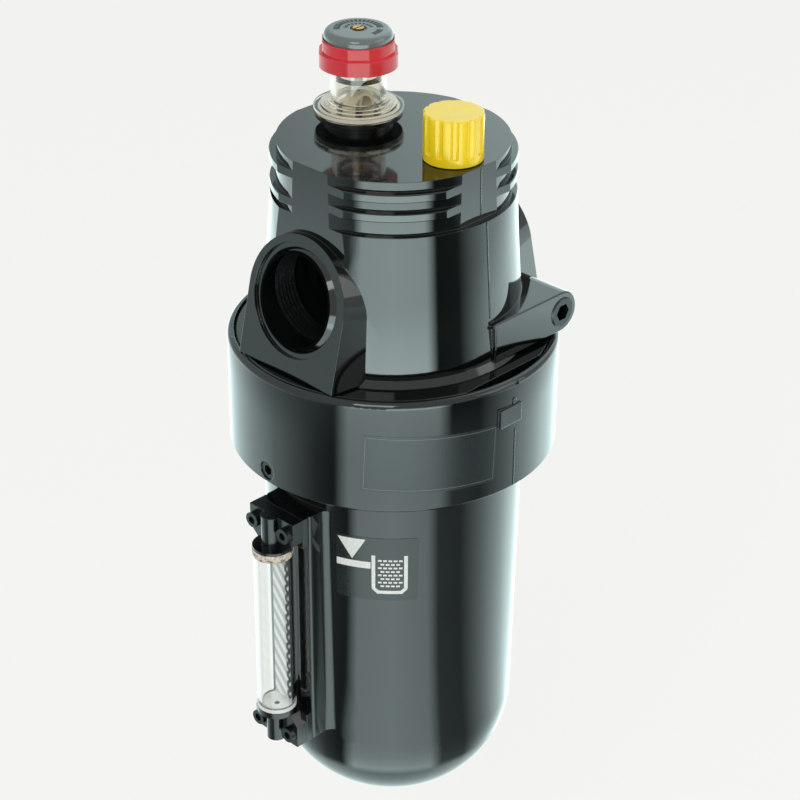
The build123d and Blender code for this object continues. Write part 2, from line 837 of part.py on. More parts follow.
# Air way and siphon
def flow_sensor_ring():
    """Carrier in the inlet bore with a groove for the sensing disc."""
    half = sensor_len / 2
    ring = along_x(throat_r - slip_gap, sensor_x - half, sensor_x + half)
    ring = ring - along_x(sensor_bore_r, sensor_x - half, sensor_x + half)
    seat = disc_t / 2 + slip_gap
    return ring - along_x(sensor_bore_r + disc_seat, sensor_x - seat, sensor_x + seat)


def flow_sensor_disc():
    return along_x(
        sensor_bore_r + disc_seat - slip_gap, sensor_x - disc_t / 2, sensor_x + disc_t / 2,
    )


def fog_nozzle():
    """Nozzle in the head's floor: spigot, flange, body and threaded stem with a jet hole."""
    nozzle = spun([
        (fog_jet_r, floor_top_z),
        (fog_bore_r - slip_gap, floor_top_z),
        (fog_bore_r - slip_gap, floor_low_z),
        (fog_flange_r, floor_low_z),
        (fog_flange_r, floor_low_z - fog_flange_h),
        (fog_body_r, floor_low_z - fog_flange_h),
        (fog_body_r, fog_body_low_z),
        (fog_stem_r, fog_body_low_z),
        (fog_stem_r, fog_stem_low_z),
        (fog_jet_r, fog_stem_low_z),
    ])
    return nozzle


def baffle_plate():
    """Slotted disc on the nozzle's stem, open under the fill hole and round the siphon."""
    plate = tube(baffle_r, fog_stem_r + slip_gap, fog_body_low_z - baffle_t, fog_body_low_z)
    low = fog_body_low_z - baffle_t
    mid_r = (baffle_r + fog_stem_r) / 2
    for index in range(baffle_slots):
        turn = 360 * index / baffle_slots
        hole = Pos(mid_r, 0, 0) * rod(baffle_slot_r, low, fog_body_low_z)
        plate = plate - Rot(0, 0, turn) * hole
    plate = plate - Pos(0, fill_y, 0) * rod(fill_hole_r + 1, low, fog_body_low_z)
    return plate - Pos(0, siphon_y, 0) * rod(siphon_r + 2 * fit_gap, low, fog_body_low_z)


def at_siphon(solid):
    return Pos(0, siphon_y, 0) * solid


def siphon_tube():
    return at_siphon(tube(siphon_r, siphon_r - siphon_wall, siphon_low_z, siphon_seat_z))


def siphon_foot():
    """Foot valve body: socket for the tube, ball chamber and seat hole."""
    return at_siphon(spun([
        (siphon_r + slip_gap, foot_top_z),
        (foot_r, foot_top_z),
        (foot_r, foot_low_z),
        (foot_hole_r, foot_low_z),
        (foot_hole_r, foot_seat_z),
        (siphon_r + slip_gap, foot_seat_z),
    ]))


ball_z = foot_seat_z + math.sqrt(ball_r ** 2 - foot_hole_r ** 2) + ball_gap


def check_ball():
    return Pos(0, siphon_y, ball_z) * Sphere(ball_r)


def siphon_strainer():
    """Slotted cup round the foot valve."""
    inner = strainer_r - strainer_wall
    cup = spun([
        (foot_r + slip_gap, strainer_top_z),
        (strainer_r, strainer_top_z),
        (strainer_r, strainer_low_z),
        (0, strainer_low_z),
        (0, strainer_low_z + strainer_wall),
        (inner, strainer_low_z + strainer_wall),
        (inner, strainer_top_z - strainer_wall),
        (foot_r + slip_gap, strainer_top_z - strainer_wall),
    ])
    slot_low = strainer_low_z + 2 * strainer_wall
    half = strainer_slot_w / 2
    for index in range(strainer_slots):
        slot = block(inner - 1, strainer_r + 1, -half, half, slot_low, slot_low + strainer_slot_h)
        cup = cup - Rot(0, 0, 360 * index / strainer_slots) * slot
    return at_siphon(cup)


pieces = {
    "head_casting": head_casting,
    "side_port_plug": side_port_plug,
    "clamp_ring": clamp_ring,
    "ring_lock_screw": ring_lock_screw,
    "bowl": bowl,
    "bowl_seal": lambda: o_ring(seal_r, seal_section, seal_z),
    "sight_upper_block": upper_block,
    "sight_lower_block": lower_block,
    "sight_glass": sight_glass,
    "sight_upper_gasket": lambda: gasket(glass_high),
    "sight_lower_gasket": lambda: gasket(glass_low - gasket_h),
    "level_board": level_board,
    "block_screws": block_screws,
    "dome_base_ring": dome_base_ring,
    "feed_dome": feed_dome,
    "dome_inner_ring": inner_ring,
    "drip_nozzle": drip_nozzle,
    "lock_collar": lock_collar,
    "feed_knob": feed_knob,
    "knob_screw": knob_screw,
    "fill_plug": fill_plug,
    "fill_plug_seal": lambda: o_ring(fill_seal_r, fill_seal_section, fill_seal_z, fill_y),
    "flow_sensor_ring": flow_sensor_ring,
    "flow_sensor_disc": flow_sensor_disc,
    "fog_nozzle": fog_nozzle,
    "baffle_plate": baffle_plate,
    "siphon_tube": siphon_tube,
    "siphon_foot": siphon_foot,
    "check_ball": check_ball,
    "siphon_strainer": siphon_strainer,
}

os.makedirs("parts", exist_ok=True)
for name, make in pieces.items():
    export_step(make(), f"parts/{name}.step")
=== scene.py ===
"""Finishes, printed plates, threads and studio for the air line lubricator."""
import math

import bpy
from bpy.props import FloatProperty, FloatVectorProperty, PointerProperty
from mathutils import Matrix, Vector


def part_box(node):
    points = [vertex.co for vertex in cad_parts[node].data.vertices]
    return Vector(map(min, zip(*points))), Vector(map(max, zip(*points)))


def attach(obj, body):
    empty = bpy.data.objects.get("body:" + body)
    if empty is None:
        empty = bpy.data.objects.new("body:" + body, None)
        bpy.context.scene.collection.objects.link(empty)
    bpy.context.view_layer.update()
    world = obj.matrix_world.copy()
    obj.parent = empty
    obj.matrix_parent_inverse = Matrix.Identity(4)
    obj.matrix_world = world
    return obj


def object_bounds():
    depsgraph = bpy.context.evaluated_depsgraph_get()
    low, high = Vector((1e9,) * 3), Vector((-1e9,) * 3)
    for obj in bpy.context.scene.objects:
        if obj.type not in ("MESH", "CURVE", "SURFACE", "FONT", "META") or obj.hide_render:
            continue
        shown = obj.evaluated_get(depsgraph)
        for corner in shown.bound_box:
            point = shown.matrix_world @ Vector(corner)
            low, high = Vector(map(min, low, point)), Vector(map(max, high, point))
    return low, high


bl_info = {
    "name": "Air Line Lubricator",
    "version": (1, 0, 0),
    "blender": (4, 5, 0),
    "location": "View3D > Sidebar > Lubricator",
    "description": "Finishes and small details of a large air line lubricator",
    "category": "Object",
}

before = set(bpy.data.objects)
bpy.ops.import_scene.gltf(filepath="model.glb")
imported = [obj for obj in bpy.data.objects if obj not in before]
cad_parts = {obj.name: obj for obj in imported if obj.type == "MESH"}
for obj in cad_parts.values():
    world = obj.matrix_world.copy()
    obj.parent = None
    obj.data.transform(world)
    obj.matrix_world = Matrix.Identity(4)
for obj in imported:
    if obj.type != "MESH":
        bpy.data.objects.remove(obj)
cad_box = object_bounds()

MM = 0.001
CLEARANCE = 0.05 * MM  # between two flat faces that would otherwise lie in one plane

# Viewpoint of the reference picture: its turn to the left, lift and roll, then its distance in metres
VIEW_TURN, VIEW_LIFT, VIEW_ROLL = math.radians(45.9), math.radians(29.4), math.radians(0.29)
VIEW_DISTANCE = 1.157
# Where the view's axis passes the origin
VIEW_RIGHT, VIEW_UP = 3.68 * MM, -81.73 * MM
FOCAL_PX, PICTURE_PX, FILM_WIDTH = 2233.77, 800, 36

# In a metre of a wave texture at a scale of 1
WAVE_BANDS, WAVE_LINES = 3.18, 6.3


def linear(code):
    """Linear RGB of an sRGB hex colour."""
    channels = [int(code[i:i + 2], 16) / 255 for i in (1, 3, 5)]
    return [c / 12.92 if c <= 0.04045 else ((c + 0.055) / 1.055) ** 2.4 for c in channels]


def colour(code, name, description):
    return FloatVectorProperty(
        name=name, description=description, default=linear(code),
        subtype="COLOR", size=3, min=0, max=1,
    )


def length(value, name, description):
    return FloatProperty(
        name=name, description=description, default=value * MM,
        subtype="DISTANCE", unit="LENGTH", min=0,
    )


def angle(value, name, description):
    return FloatProperty(
        name=name, description=description, default=math.radians(value),
        subtype="ANGLE", unit="ROTATION",
    )


class LubricatorColours(bpy.types.PropertyGroup):
    """Colours of the finishes, the prints and the stage"""
    paint: colour("#0a0e0d", "Paint", "Stoving enamel of the castings")
    moulding: colour("#0d0f10", "Black moulding", "Nylon of the sight blocks and dome base")
    steel: colour("#3a3c3d", "Blackened steel", "Screws and hex plug")
    rubber: colour("#17181a", "Rubber", "Seals")
    # Painted shade: near-black for the threads and flow sensor deep in the ports
    port_shade: colour("#040505", "Oiled iron", "Threads and flow sensor in the air way")
    red: colour("#d6353e", "Collar red", "Lock collar")
    yellow: colour("#ffd918", "Plug yellow", "Fill plug")
    knob: colour("#666d6c", "Knob grey", "Adjusting knob")
    knob_ink: colour("#050606", "Knob ink", "Dashes on the knob")
    brass: colour("#c79a4e", "Brass", "Needle screw")
    alloy: colour("#b9bbbd", "Alloy", "Internal turned parts")
    ball: colour("#c8c9ca", "Ball steel", "Check ball")
    tan: colour("#cbbdaf", "Fibre tan", "Upper sight gasket")
    cream: colour("#cdc6b2", "Acetal cream", "Drip nozzle")
    dome: colour("#f4f2ea", "Dome", "Clear polycarbonate")
    glass: colour("#fbfdfc", "Glass", "Sight glass")
    tube: colour("#e9e6d8", "Siphon nylon", "Siphon tube")
    seat: colour("#e6e1d2", "Dome seat", "Pale seat under the dome's flange")
    seat_glow: colour("#d8d3c4", "Seat glow", "Pale middle of the dome's base ring")
    white: colour("#e4e3df", "White", "Level board, lower gasket and level sign")
    grey: colour("#aeb2b2", "Stripe grey", "Stripes of the level board")
    plate: colour("#15191a", "Plate ground", "Printed ground of the rating plate")
    border: colour("#5d6463", "Plate border", "Printed line round the rating plate")
    sign: colour("#1c2221", "Sign ground", "Printed ground of the level sign")
    paper: colour("#f1f1ee", "Paper", "Floor of the stage")
    shine: colour("#e8fffe", "Card tint", "Reflecting cards round the part")


class LubricatorSizes(bpy.types.PropertyGroup):
    """Sizes and angles of the small pieces"""
    plate_width: length(70, "Plate width", "Rating plate, along the ring")
    plate_height: length(31.5, "Plate height", "Rating plate")
    plate_drop: length(34.6, "Plate drop", "From the ring's top to the plate's middle")
    plate_corner: length(1.5, "Plate corner", "Corners of the plate, and its border's distance from the edge")
    plate_line: length(0.3, "Plate line", "Border of the rating plate")
    plate_angle: angle(-32.4, "Plate angle", "Middle of the plate, from the front")
    plate_tilt: angle(-2.4, "Plate tilt", "How far the plate is stuck on out of level")
    sign_width: length(42.5, "Sign width", "Level sign, round the bowl")
    sign_height: length(37.6, "Sign height", "Level sign")
    sign_corner: length(1.2, "Sign corner", "Corners of the level sign")
    sign_line: length(1.9, "Sign line", "Wall of the cup on the level sign")
    sign_drop: length(142.7, "Sign drop", "From the ports' axis down to the sign's middle")
    sign_radius: length(66.9, "Sign radius", "Bowl's radius behind the sign's middle")
    sign_angle: angle(-52.5, "Sign angle", "Middle of the level sign, from the front")
    sign_lean: angle(0.9, "Sign lean", "Taper of the bowl behind the sign")
    film: length(0.07, "Film", "Thickness of the plate and the sign")
    sleeve_radius: length(10.42, "Sleeve radius", "Inside of the upper gasket's lip")
    sleeve_height: length(2.5, "Sleeve height", "Upper gasket's lip")
    sleeve_wall: length(0.12, "Sleeve wall", "Upper gasket's lip")
    sleeve_lap: length(0.4, "Sleeve lap", "How far the lip reaches down over the gasket")
    seat_inset: length(2.2, "Seat inset", "From the dome's rim in to the pale seat")
    seat_hole: length(12.6, "Seat hole", "Inner radius of the pale seat")
    seat_thickness: length(0.2, "Seat thickness", "Pale seat under the dome")
    web_radius: length(8.4, "Web radius", "Pale web at the foot of the sight glass")
    web_hole: length(1.5, "Web hole", "Radius of the hole in the pale web")
    web_thickness: length(0.3, "Web thickness", "Pale web at the foot of the sight glass")
    thread_bore: length(22.4, "Thread bore", "Radius of the bore in each port")
    thread_start: length(46.9, "Thread start", "From the bowl's axis to the thread's inner end")
    thread_pitch: length(2.2, "Thread pitch", "Pipe thread in the ports")
    thread_depth: length(1.2, "Thread depth", "Pipe thread in the ports")
    seam_width: length(0.5, "Seam width", "Parting lines of the castings")
    seam_rise: length(0.35, "Seam rise", "Parting lines of the castings")
    floor_gap: length(235, "Floor gap", "Free height under the part, to take the bowl off")


def sizes():
    return bpy.context.scene.lubricator_sizes


def colours():
    return bpy.context.scene.lubricator_colours


# Materials

def add(tree, kind, values=None, feeds=None, **settings):
    """Add a node with its settings, its sockets' values and the links that feed it."""
    made = tree.nodes.new(kind)
    for key, value in settings.items():
        setattr(made, key, value)
    for key, value in (values or {}).items():
        made.inputs[key].default_value = value
    for key, source in (feeds or {}).items():
        tree.links.new(source, made.inputs[key])
    return made


def start(name, base, values):
    """New material with its shader, ready for a pattern."""
    material = bpy.data.materials.new(name)
    material.use_nodes = True
    tree = material.node_tree
    tree.nodes.clear()
    shader = add(tree, "ShaderNodeBsdfPrincipled", {"Base Color": (*base, 1), **values})
    add(tree, "ShaderNodeOutputMaterial", feeds={0: shader.outputs[0]})
    place = add(tree, "ShaderNodeTexCoord").outputs["Object"]
    return material, tree, shader, place


def of_kind(material, kind):
    """First node of one kind in a material."""
    return next(node for node in material.node_tree.nodes if node.type == kind)


def speckle(tree, place, size_mm, detail=2.0):
    """Noise whose grains are about size_mm across."""
    return add(tree, "ShaderNodeTexNoise", {"Scale": 1 / (size_mm * MM), "Detail": detail},
               {"Vector": place})


def spread(tree, source, low, high):
    """A texture's middle range stretched to run from low to high."""
    values = {"From Min": 0.3, "From Max": 0.7, "To Min": low, "To Max": high}
    return add(tree, "ShaderNodeMapRange", values, {"Value": source}).outputs[0]


def tinted(tree, source, base, darker, lighter):
    """Base colour that drifts between a darker and a lighter tone."""
    ramp = add(tree, "ShaderNodeMix", {
        "A": (*[c * darker for c in base], 1), "B": (*[min(1, c * lighter) for c in base], 1),
    }, {"Factor": source}, data_type="RGBA")
    return ramp.outputs["Result"]


def drifting(tree, shader, source, base, tones, roughness):
    """Let a shader's colour and roughness drift together with one noise."""
    tone = tinted(tree, spread(tree, source, 0, 1), base, *tones)
    tree.links.new(tone, shader.inputs["Base Color"])
    tree.links.new(spread(tree, source, *roughness), shader.inputs["Roughness"])


def enamel(name, base, roughness, peel_mm, edge_mm):
    """Stoving enamel on a cast part.

    Gives a wet-looking black with soft orange peel and rounded, light-catching edges.
    """
    material, tree, shader, place = start(name, base, {"IOR": 1.52})
    peel = speckle(tree, place, peel_mm)
    drift = speckle(tree, place, 45, 3)
    rounded = add(tree, "ShaderNodeBevel", {"Radius": edge_mm * MM}, samples=4)
    bump = add(tree, "ShaderNodeBump", {"Strength": 0.12, "Distance": 0.03 * MM},
               {"Height": peel.outputs[0], "Normal": rounded.outputs[0]})
    drifting(tree, shader, drift.outputs[0], base, (0.8, 1.3), (roughness, roughness + 0.03))
    tree.links.new(bump.outputs[0], shader.inputs["Normal"])
    return material


def paint_bore_shade(material, reach):
    """Painted shade inside the ports: round the X axis the enamel turns dull and loses its shine, so the
    bores look almost black.
    """
    tree = material.node_tree
    shader = of_kind(material, "BSDF_PRINCIPLED")
    place = of_kind(material, "TEX_COORD").outputs["Object"]
    across = add(tree, "ShaderNodeVectorMath", {1: (0, 1, 1)}, {0: place}, operation="MULTIPLY")
    away = add(tree, "ShaderNodeVectorMath", feeds={0: across.outputs[0]}, operation="LENGTH")
    inside = add(tree, "ShaderNodeMath", {1: reach}, {0: away.outputs["Value"]}, operation="LESS_THAN")
    rough = shader.inputs["Roughness"].links[0].from_socket
    dull = add(tree, "ShaderNodeMix", {"B": 0.85}, {"Factor": inside.outputs[0], "A": rough})
    faint = add(tree, "ShaderNodeMapRange", {"To Min": 0.5, "To Max": 0.0}, {"Value": inside.outputs[0]})
    tree.links.new(dull.outputs[0], shader.inputs["Roughness"])
    tree.links.new(faint.outputs[0], shader.inputs["Specular IOR Level"])


def moulded(name, base, roughness, grain_mm=0.8, translucent=0.0, shine=0.5):
    """Injection-moulded plastic with a faint texture from the tool."""
    material, tree, shader, place = start(name, base, {
        "IOR": 1.5, "Specular IOR Level": shine, "Subsurface Weight": translucent,
        "Subsurface Scale": 1.5 * MM, "Subsurface Radius": (1, 0.5, 0.3),
    })
    grain = speckle(tree, place, grain_mm)
    drift = speckle(tree, place, 12, 3)
    rounded = add(tree, "ShaderNodeBevel", {"Radius": 0.35 * MM}, samples=4)
    bump = add(tree, "ShaderNodeBump", {"Strength": 0.15, "Distance": 0.03 * MM},
               {"Height": grain.outputs[0], "Normal": rounded.outputs[0]})
    drifting(tree, shader, drift.outputs[0], base, (0.97, 1.03), (roughness - 0.02, roughness + 0.03))
    tree.links.new(bump.outputs[0], shader.inputs["Normal"])
    return material


def shade_black(name, base):
    """Cut threads and the flow sensor deep in the ports, painted dull and almost black as shade."""
    material, tree, shader, place = start(name, base, {"Specular IOR Level": 0.06})
    film = speckle(tree, place, 2.5, 3)
    tree.links.new(spread(tree, film.outputs[0], 0.45, 0.7), shader.inputs["Roughness"])
    return material


def rubber(name, base):
    """Moulded nitrile rubber: dull, with a dusty bloom."""
    material, tree, shader, place = start(name, base, {"IOR": 1.52, "Sheen Weight": 0.15})
    bloom = speckle(tree, place, 3, 4)
    drifting(tree, shader, bloom.outputs[0], base, (0.8, 1.5), (0.5, 0.68))
    return material


def clear(name, tint, roughness, ior):
    """Clear moulded polycarbonate or drawn glass tube, with faint flow marks.

    Lamps shine straight through it, so that what lies inside is lit.
    """
    material, tree, shader, place = start(name, tint, {"IOR": ior, "Transmission Weight": 1.0})
    flow = speckle(tree, place, 6)
    bump = add(tree, "ShaderNodeBump", {"Strength": 0.06, "Distance": 0.1 * MM},
               {"Height": flow.outputs[0]})
    tree.links.new(spread(tree, flow.outputs[0], roughness, roughness + 0.03), shader.inputs["Roughness"])
    tree.links.new(bump.outputs[0], shader.inputs["Normal"])
    ray = add(tree, "ShaderNodeLightPath")
    through = add(tree, "ShaderNodeBsdfTransparent", {"Color": (*[c * 0.94 for c in tint], 1)})
    mixed = add(tree, "ShaderNodeMixShader", feeds={
        0: ray.outputs["Is Shadow Ray"], 1: shader.outputs[0], 2: through.outputs[0],
    })
    tree.links.new(mixed.outputs[0], of_kind(material, "OUTPUT_MATERIAL").inputs[0])
    return material


def turned(name, base, roughness, line_mm=0.4):
    """Metal turned on a lathe: fine rings round the vertical axis."""
    material, tree, shader, place = start(name, base, {"Metallic": 1.0})
    lines = add(tree, "ShaderNodeTexWave", {"Scale": 1 / (line_mm * MM * WAVE_LINES), "Distortion": 0.4},
                {"Vector": place}, wave_type="BANDS", bands_direction="Z")
    bump = add(tree, "ShaderNodeBump", {"Strength": 0.2, "Distance": 0.02 * MM},
               {"Height": lines.outputs["Color"]})
    smear = speckle(tree, place, 4, 3)
    drifting(tree, shader, smear.outputs[0], base, (0.8, 1.1), (roughness - 0.05, roughness + 0.1))
    tree.links.new(bump.outputs[0], shader.inputs["Normal"])
    return material


def fibre(name, base):
    """Pressed fibre gasket with short light and dark fibres."""
    material, tree, shader, place = start(name, base, {"IOR": 1.45, "Roughness": 0.75})
    strands = speckle(tree, place, 1.7, 5)
    tone = tinted(tree, spread(tree, strands.outputs[0], -0.3, 1.9), base, 0.15, 1.25)
    tree.links.new(tone, shader.inputs["Base Color"])
    return material


def slanting(tree, place, pitch_mm, tilt):
    """Slanting bands on a card that stands across X."""
    turn = add(tree, "ShaderNodeMapping", {"Rotation": (tilt, 0, 0)}, {"Vector": place})
    return add(tree, "ShaderNodeTexWave", {"Scale": 1 / (pitch_mm * MM * WAVE_BANDS)},
               {"Vector": turn.outputs[0]}, wave_type="BANDS", bands_direction="Z").outputs["Fac"]


def striped(name, base, stripe, dark):
    """White card printed with slanting stripes and a dark lattice down one edge."""
    material, tree, shader, place = start(name, base, {"IOR": 1.45, "Roughness": 0.5})
    bars = spread(tree, slanting(tree, place, 5.4, math.radians(-50)), 0, 1)
    mixed = add(tree, "ShaderNodeMix", {"A": (*base, 1), "B": (*stripe, 1)}, {"Factor": bars},
                data_type="RGBA")
    up = slanting(tree, place, 3.2, math.radians(58))
    down = slanting(tree, place, 3.2, math.radians(-58))
    lattice = add(tree, "ShaderNodeMath", feeds={0: up, 1: down}, operation="MINIMUM")
    lattice = spread(tree, lattice.outputs[0], 1, 0)
    across = add(tree, "ShaderNodeSeparateXYZ", feeds={0: place}).outputs["Y"]
    edge = add(tree, "ShaderNodeMath", {1: -3.5 * MM}, {0: across}, operation="LESS_THAN")
    share = add(tree, "ShaderNodeMath", feeds={0: edge.outputs[0], 1: lattice}, operation="MULTIPLY")
    final = add(tree, "ShaderNodeMix", {"B": (*dark, 1)},
                {"Factor": share.outputs[0], "A": mixed.outputs["Result"]}, data_type="RGBA")
    tree.links.new(final.outputs["Result"], shader.inputs["Base Color"])
    return material


def two_tone(material, inner, centre_y, reach, low):
    """Paler face near an upright axis: the seat that shows through the dome's clear flange."""
    tree = material.node_tree
    shader = of_kind(material, "BSDF_PRINCIPLED")
    place = of_kind(material, "TEX_COORD").outputs["Object"]
    moved = add(tree, "ShaderNodeVectorMath", {1: (0, -centre_y, 0)}, {0: place}, operation="ADD")
    flat = add(tree, "ShaderNodeVectorMath", {1: (1, 1, 0)}, {0: moved.outputs[0]}, operation="MULTIPLY")
    away = add(tree, "ShaderNodeVectorMath", feeds={0: flat.outputs[0]}, operation="LENGTH")
    inside = add(tree, "ShaderNodeMath", {1: reach}, {0: away.outputs["Value"]}, operation="LESS_THAN")
    up = add(tree, "ShaderNodeSeparateXYZ", feeds={0: place}).outputs["Z"]
    above = add(tree, "ShaderNodeMath", {1: low}, {0: up}, operation="GREATER_THAN")
    both = add(tree, "ShaderNodeMath", feeds={0: inside.outputs[0], 1: above.outputs[0]},
               operation="MULTIPLY")
    base = shader.inputs["Base Color"].links[0].from_socket
    mixed = add(tree, "ShaderNodeMix", {"B": (*inner, 1)}, {"Factor": both.outputs[0], "A": base},
                data_type="RGBA")
    tree.links.new(mixed.outputs["Result"], shader.inputs["Base Color"])


def printed(name, base, roughness):
    """Screen print on plastic film: satin, with tiny pinholes."""
    material, tree, shader, place = start(name, base, {"IOR": 1.45})
    mottle = speckle(tree, place, 1.5, 4)
    drifting(tree, shader, mottle.outputs[0], base, (0.92, 1.08), (roughness, roughness + 0.08))
    return material


def finish(piece, material):
    piece.data.materials.clear()
    piece.data.materials.append(material)


def finish_of(name):
    """Material that a CAD part already has."""
    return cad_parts[name].data.materials[0]


# Pieces

def alone(piece):
    """Make one piece the only one selected, and the active one."""
    bpy.ops.object.select_all(action="DESELECT")
    piece.select_set(True)
    bpy.context.view_layer.objects.active = piece


def settle(piece):
    """Bring a piece's place, turn and scale into its mesh."""
    alone(piece)
    bpy.ops.object.transform_apply(location=True, rotation=True, scale=True)


class FinishParts(bpy.types.Operator):
    """Give every CAD part its finish"""
    bl_idname = "lubricator.finish_parts"
    bl_label = "Part finishes"

    def execute(self, context):
        c = colours()
        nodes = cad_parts
        paint = enamel("stoving_enamel_black", c.paint, roughness=0.06, peel_mm=1.6, edge_mm=0.8)
        head_paint = enamel("head_enamel_black", c.paint, roughness=0.05, peel_mm=1.6, edge_mm=0.5)
        # Painted shade: the enamel inside the port bores is dulled so that they look black
        paint_bore_shade(head_paint, reach=23.9 * MM)
        nylon = moulded("black_nylon", c.moulding, 0.18)
        steel = turned("blackened_steel", c.steel, 0.35)
        nitrile = rubber("nitrile_rubber", c.rubber)
        board = striped("level_board_print", c.white, c.grey, c.moulding)
        alloy = turned("turned_alloy", c.alloy, 0.3)
        acetal = moulded("white_acetal", c.white, 0.4)
        port_shade = shade_black("port_shade_black", c.port_shade)
        base_nylon = moulded("dome_base_nylon", c.moulding, 0.25)
        two_tone(base_nylon, c.seat_glow, centre_y=24 * MM, reach=20.4 * MM, low=70.5 * MM)
        polycarbonate = clear("clear_polycarbonate", c.dome, 0.03, ior=1.58)
        finishes = {
            "head_casting": head_paint, "clamp_ring": paint, "bowl": paint,
            "side_port_plug": steel, "ring_lock_screw": steel, "block_screws": steel,
            "sight_upper_block": nylon, "sight_lower_block": nylon, "dome_base_ring": base_nylon,
            "bowl_seal": nitrile, "dome_inner_ring": nitrile, "fill_plug_seal": nitrile,
            "sight_glass": clear("drawn_glass", c.glass, 0.0, ior=1.47),
            "sight_upper_gasket": fibre("pressed_fibre", c.tan),
            "sight_lower_gasket": acetal,
            "level_board": board,
            "feed_dome": polycarbonate,
            "drip_nozzle": moulded("nozzle_acetal", c.cream, 0.25),
            "lock_collar": moulded("collar_acetal", c.red, 0.12, shine=0.27),
            "feed_knob": moulded("knob_nylon", c.knob, 0.12),
            "knob_screw": turned("turned_brass", c.brass, 0.28, line_mm=0.35),
            "fill_plug": moulded("plug_polyethylene", c.yellow, 0.22, 1.0, translucent=0.12, shine=0.42),
            # Painted shade: the flow sensor's ring and disc are made near-black like the shaded port round
            # them
            "flow_sensor_ring": port_shade, "flow_sensor_disc": port_shade,
            "fog_nozzle": alloy, "baffle_plate": alloy,
            "siphon_tube": clear("siphon_nylon", c.tube, 0.2, ior=1.5),
            "siphon_foot": acetal, "check_ball": turned("ball_steel", c.ball, 0.1),
            "siphon_strainer": alloy,
        }
        for name, material in finishes.items():
            finish(nodes[name], material)
        return {"FINISHED"}


def wrap(piece, radius, turn, lean=0.0):
    """Bend a flat piece that faces -Y round the bowl's axis, and turn it to its place.

    A piece on a tapered wall leans first, about its own middle height.
    """
    settle(piece)
    heights = [v.co.z for v in piece.data.vertices]
    middle = Matrix.Translation((0, 0, (max(heights) + min(heights)) / 2))
    piece.data.transform(middle @ Matrix.Rotation(lean, 4, "X") @ middle.inverted())
    reach = [v.co.x for v in piece.data.vertices]
    bend = piece.modifiers.new("bend", "SIMPLE_DEFORM")
    bend.deform_method = "BEND"
    bend.deform_axis = "Z"
    bend.angle = (max(reach) - min(reach)) / radius
    bpy.ops.object.modifier_apply(modifier=bend.name)
    piece.data.transform(Matrix.Rotation(turn, 4, "Z") @ Matrix.Translation((0, -radius, 0)))


def slice_up(piece, step=2 * MM):
    """Cut a flat piece across its width so that it can bend."""
    alone(piece)
    bpy.ops.object.mode_set(mode="EDIT")
    reach = [v.co.x for v in piece.data.vertices]
    low, high = min(reach), max(reach)
    count = int((high - low) / step)
    for index in range(1, count + 1):
        bpy.ops.mesh.select_all(action="SELECT")
        place = low + (high - low) * index / (count + 1)
        bpy.ops.mesh.bisect(plane_co=(place, 0, 0), plane_no=(1, 0, 0))
    bpy.ops.object.mode_set(mode="OBJECT")


def thicken(step):
    """Pull the faces being edited out by a step, and close them into a solid."""
    bpy.ops.mesh.select_all(action="SELECT")
    bpy.ops.mesh.extrude_region_move(TRANSFORM_OT_translate={"value": step})
    bpy.ops.mesh.select_all(action="SELECT")
    bpy.ops.mesh.normals_make_consistent(inside=False)
    bpy.ops.object.mode_set(mode="OBJECT")


def tile(name, width, height, thickness, x=0.0, z=0.0, corner=0.0):
    """Flat tile that faces -Y, its back on the plane y = 0, with rounded corners."""
    bpy.ops.object.select_all(action="DESELECT")
    bpy.ops.mesh.primitive_plane_add(size=1, location=(x, 0, z), rotation=(math.pi / 2, 0, 0))
    piece = bpy.context.active_object
    piece.name = name
    piece.scale = (width, height, 1)
    settle(piece)
    bpy.ops.object.mode_set(mode="EDIT")
    if corner:
        bpy.ops.mesh.select_all(action="SELECT")
        bpy.ops.mesh.bevel(offset=corner, segments=5, affect="VERTICES")
    thicken((0, -thickness, 0))
    return piece


def gather(name, parts):
    """Join like parts into one piece."""
    bpy.ops.object.select_all(action="DESELECT")
    for part in parts:
        part.select_set(True)
    bpy.context.view_layer.objects.active = parts[0]
    bpy.ops.object.join()
    parts[0].name = name
    return parts[0]


class RatingPlate(bpy.types.Operator):
    """Bare rating plate on the clamp ring, with an empty printed frame"""
    bl_idname = "lubricator.rating_plate"
    bl_label = "Rating plate"

    def execute(self, context):
        s, c = sizes(), colours()
        ring_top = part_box("clamp_ring")[1]
        width, height, inset = s.plate_width, s.plate_height, s.plate_corner
        line, ink = s.plate_line, 1.4 * s.film
        ground = tile("rating_plate", width, height, s.film, corner=inset)
        parts = []
        for side in (-1, 1):
            parts.append(tile("line", width - 2 * inset, line, ink, z=side * (height / 2 - inset)))
        for side in (-1, 1):
            parts.append(tile("line", line, height - 2 * inset, ink, x=side * (width / 2 - inset)))
        frame_lines = gather("rating_plate_frame", parts)
        level = Matrix.Translation((0, 0, ring_top.z - s.plate_drop))
        tilt = Matrix.Rotation(-s.plate_tilt, 4, "Y")
        for piece, material in (
            (ground, printed("plate_ground", c.plate, 0.3)),
            (frame_lines, printed("plate_ink", c.border, 0.35)),
        ):
            piece.data.transform(level @ tilt)
            slice_up(piece)
            wrap(piece, ring_top.x, s.plate_angle)
            finish(piece, material)
            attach(piece, "ring")
        return {"FINISHED"}


def triangle(name, corners, thickness):
    """Flat three-cornered tile that faces -Y, its corners in millimetres."""
    bpy.ops.object.select_all(action="DESELECT")
    bpy.ops.mesh.primitive_circle_add(vertices=3, radius=1, fill_type="NGON")
    piece = bpy.context.active_object
    piece.name = name
    settle(piece)
    for vertex, (x, z) in zip(piece.data.vertices, corners):
        vertex.co = (x * MM, 0, z * MM)
    bpy.ops.object.mode_set(mode="EDIT")
    thicken((0, -thickness, 0))
    return piece


